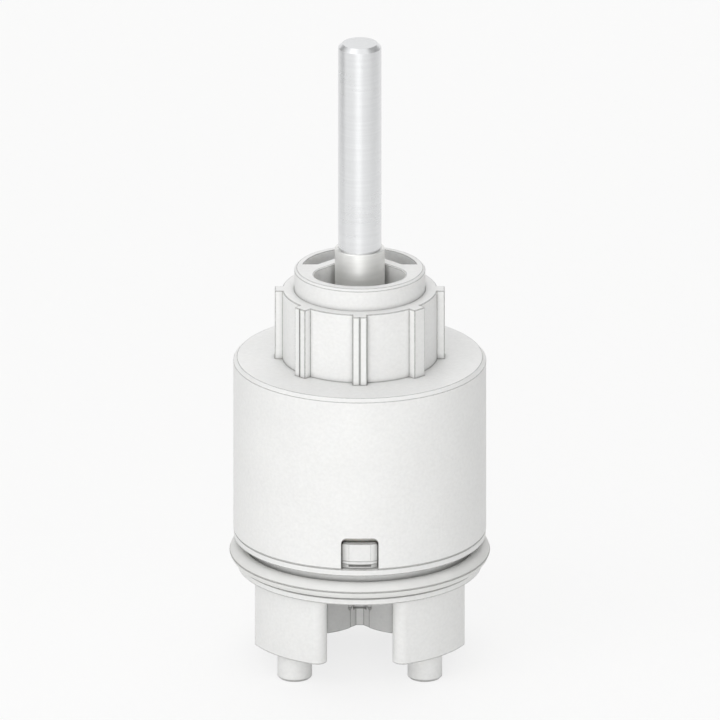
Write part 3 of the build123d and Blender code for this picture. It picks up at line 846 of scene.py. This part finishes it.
class CARTRIDGE_OT_lever(bpy.types.Operator):
    """Finish the control rod in ground steel and the spindle in satin nickel"""

    bl_idname = "cartridge.lever"
    bl_label = "Lever"

    def execute(self, context):
        colours = context.scene.cartridge_colours
        details = context.scene.cartridge_details
        steel = turned_metal("ground_rod", colours.rod, details.grinding_pitch, ROD_ROUGHNESS)
        nickel = turned_metal("nickel_spindle", colours.spindle, details.turning_pitch, SPINDLE_ROUGHNESS)
        finish_node("control_rod", steel)
        finish_node("lever_spindle", nickel)
        return {"FINISHED"}


# Share of the paper in what the floor shows, the rest being white
PAPER_SHARE = 0.22


def backdrop_rays(tree):
    """Socket that is 1 for the rays that see the backdrop, and 0 for those that carry light."""
    rays = add_node(tree, "ShaderNodeLightPath")
    direct = add_node(
        tree, "ShaderNodeMath", {"operation": "MAXIMUM"},
        links={0: rays.outputs["Is Camera Ray"], 1: rays.outputs["Is Glossy Ray"]},
    )
    all_seen = add_node(
        tree, "ShaderNodeMath", {"operation": "MAXIMUM"},
        links={0: direct.outputs["Value"], 1: rays.outputs["Is Transmission Ray"]},
    )
    return all_seen.outputs["Value"]


def room_world(level):
    """World that lights evenly and shows white to the camera and in reflections."""
    world = bpy.data.worlds.new("pale_room")
    tree = bare_tree(world)
    light = add_node(tree, "ShaderNodeBackground", values={"Color": WHITE, "Strength": level})
    backdrop = add_node(tree, "ShaderNodeBackground", values={"Color": WHITE, "Strength": 1.0})
    both = add_node(
        tree, "ShaderNodeMixShader",
        links={0: backdrop_rays(tree), 1: light.outputs["Background"], 2: backdrop.outputs["Background"]},
    )
    add_node(tree, "ShaderNodeOutputWorld", links={"Surface": both.outputs["Shader"]})
    return world


def floor_paper(floor_colour):
    """Matt paper floor: shows nearly white, keeps the shadow, and is open from below."""
    material = bpy.data.materials.new("paper_floor")
    tree = bare_tree(material)
    paper = add_node(tree, "ShaderNodeBsdfDiffuse", values={"Color": floor_colour})
    white = add_node(tree, "ShaderNodeEmission", values={"Color": WHITE, "Strength": 1.0})
    lifted = add_node(
        tree, "ShaderNodeMixShader",
        values={0: PAPER_SHARE},
        links={1: white.outputs["Emission"], 2: paper.outputs["BSDF"]},
    )
    front = add_node(
        tree, "ShaderNodeMixShader",
        links={0: backdrop_rays(tree), 1: paper.outputs["BSDF"], 2: lifted.outputs["Shader"]},
    )
    faces = add_node(tree, "ShaderNodeNewGeometry")
    clear = add_node(tree, "ShaderNodeBsdfTransparent")
    surface = add_node(
        tree, "ShaderNodeMixShader",
        links={0: faces.outputs["Backfacing"], 1: front.outputs["Shader"], 2: clear.outputs["BSDF"]},
    )
    add_node(tree, "ShaderNodeOutputMaterial", links={"Surface": surface.outputs["Shader"]})
    return material


def flag_cloth(flag_colour):
    """Matt cloth of the boards that shade the sides."""
    material = bpy.data.materials.new("flag_cloth")
    tree = bare_tree(material)
    cloth = add_node(tree, "ShaderNodeBsdfDiffuse", values={"Color": flag_colour})
    add_node(tree, "ShaderNodeOutputMaterial", links={"Surface": cloth.outputs["BSDF"]})
    return material


# Places of the lamps and flags in metres, from the point below the barrel, and their sides
KEY_PLACE = (-0.33, -0.38, 0.56)
KEY_SIDE = 0.5
FILL_PLACE = (-0.06, -0.62, 0.05)
FILL_SIDE = 0.3
REAR_PLACE = (0.1, 0.3, 0.62)
REAR_SIDE = 0.75
RIGHT_FLAG_PLACE = (0.3, 0.05, 0.3)
RIGHT_FLAG_SIDE = 0.6
LEFT_FLAG_PLACE = (-0.24, 0.14, 0.15)
LEFT_FLAG_SIDE = 0.3

# Distance from the camera to the point that it aims at
CAMERA_REACH = 0.6

# Turns of a board that lies on the ground and of one that stands at a side of the cartridge
LYING = (0, 0, 0)
STANDING = (0, radians(-90), 0)


def stage_board(name, side, place, turn, material):
    """Flat square board of the stage."""
    form = bmesh.new()
    bmesh.ops.create_grid(form, x_segments=1, y_segments=1, size=side / 2)
    mesh = bpy.data.meshes.new(name)
    form.to_mesh(mesh)
    form.free()
    mesh.materials.append(material)
    board = bpy.data.objects.new(name, mesh)
    board.location = place
    board.rotation_euler = turn
    bpy.context.scene.collection.objects.link(board)
    return board


def soft_lamp(name, place, side, watts, target):
    """Square soft lamp that faces the cartridge."""
    light = bpy.data.lights.new(name, "AREA")
    light.shape = "SQUARE"
    light.size = side
    light.energy = watts
    lamp = bpy.data.objects.new(name, light)
    lamp.location = place
    lamp.rotation_euler = (Vector(target) - Vector(place)).to_track_quat("-Z", "Y").to_euler()
    bpy.context.scene.collection.objects.link(lamp)


def photo_camera(elevation, frame_width, aim):
    """Camera without perspective, level from side to side, at the drawing's angle."""
    lens = bpy.data.cameras.new("camera")
    lens.type = "ORTHO"
    lens.ortho_scale = frame_width
    camera = bpy.data.objects.new("camera", lens)
    back = Vector((0, -cos(elevation), sin(elevation)))
    camera.location = aim + back * CAMERA_REACH
    camera.rotation_euler = (pi / 2 - elevation, 0, 0)
    bpy.context.scene.collection.objects.link(camera)
    return camera


class CARTRIDGE_OT_stage(bpy.types.Operator):
    """Set the pale floor, the lamps, the world and the camera"""

    bl_idname = "cartridge.stage"
    bl_label = "Stage"

    def execute(self, context):
        scene = context.scene
        sizes = scene.cartridge_stage
        scene.view_settings.view_transform = "Standard"
        scene.world = room_world(sizes.room_light)
        stage_board("floor", sizes.floor_size, (0, 0, cad_low.z), LYING, floor_paper(sizes.floor))
        cloth = flag_cloth(sizes.flag)
        for name, side, place in (
            ("right_flag", RIGHT_FLAG_SIDE, RIGHT_FLAG_PLACE),
            ("left_flag", LEFT_FLAG_SIDE, LEFT_FLAG_PLACE),
        ):
            stage_board(name, side, place, STANDING, cloth).visible_camera = False
        middle = (cad_low + cad_high) / 2
        soft_lamp("key_lamp", KEY_PLACE, KEY_SIDE, sizes.key_power, middle)
        soft_lamp("fill_lamp", FILL_PLACE, FILL_SIDE, sizes.fill_power, middle)
        soft_lamp("rear_lamp", REAR_PLACE, REAR_SIDE, sizes.rear_power, middle)
        aim = Vector((sizes.aim_side, 0, sizes.aim_height))
        scene.camera = photo_camera(sizes.elevation, sizes.frame_width, aim)
        return {"FINISHED"}


STEPS = (
    CARTRIDGE_OT_housing,
    CARTRIDGE_OT_lever_gate,
    CARTRIDGE_OT_base,
    CARTRIDGE_OT_outer_ring,
    CARTRIDGE_OT_inner_seals,
    CARTRIDGE_OT_discs,
    CARTRIDGE_OT_drive,
    CARTRIDGE_OT_lever,
    CARTRIDGE_OT_stage,
)

GROUPS = {
    "cartridge_colours": FinishColours,
    "cartridge_details": DetailSizes,
    "cartridge_stage": StageSizes,
}


class CARTRIDGE_PT_finish(bpy.types.Panel):
    """Lists the finishing steps and their colours and sizes"""

    bl_idname = "CARTRIDGE_PT_finish"
    bl_label = "Cartridge finish"
    bl_space_type = "VIEW_3D"
    bl_region_type = "UI"
    bl_category = "Cartridge"

    def draw(self, context):
        for step in STEPS:
            self.layout.operator(step.bl_idname)
        for group_name, group in GROUPS.items():
            for name in group.__annotations__:
                self.layout.prop(getattr(context.scene, group_name), name)


def register():
    for name, group in GROUPS.items():
        bpy.utils.register_class(group)
        setattr(bpy.types.Scene, name, PointerProperty(type=group))
    for step in (*STEPS, CARTRIDGE_PT_finish):
        bpy.utils.register_class(step)


def unregister():
    for step in (*STEPS, CARTRIDGE_PT_finish):
        bpy.utils.unregister_class(step)
    for name, group in GROUPS.items():
        delattr(bpy.types.Scene, name)
        bpy.utils.unregister_class(group)


def main():
    """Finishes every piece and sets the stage."""
    register()
    for step in STEPS:
        group, name = step.bl_idname.split(".")
        getattr(getattr(bpy.ops, group), name)()


if __name__ == "__main__":
    main()
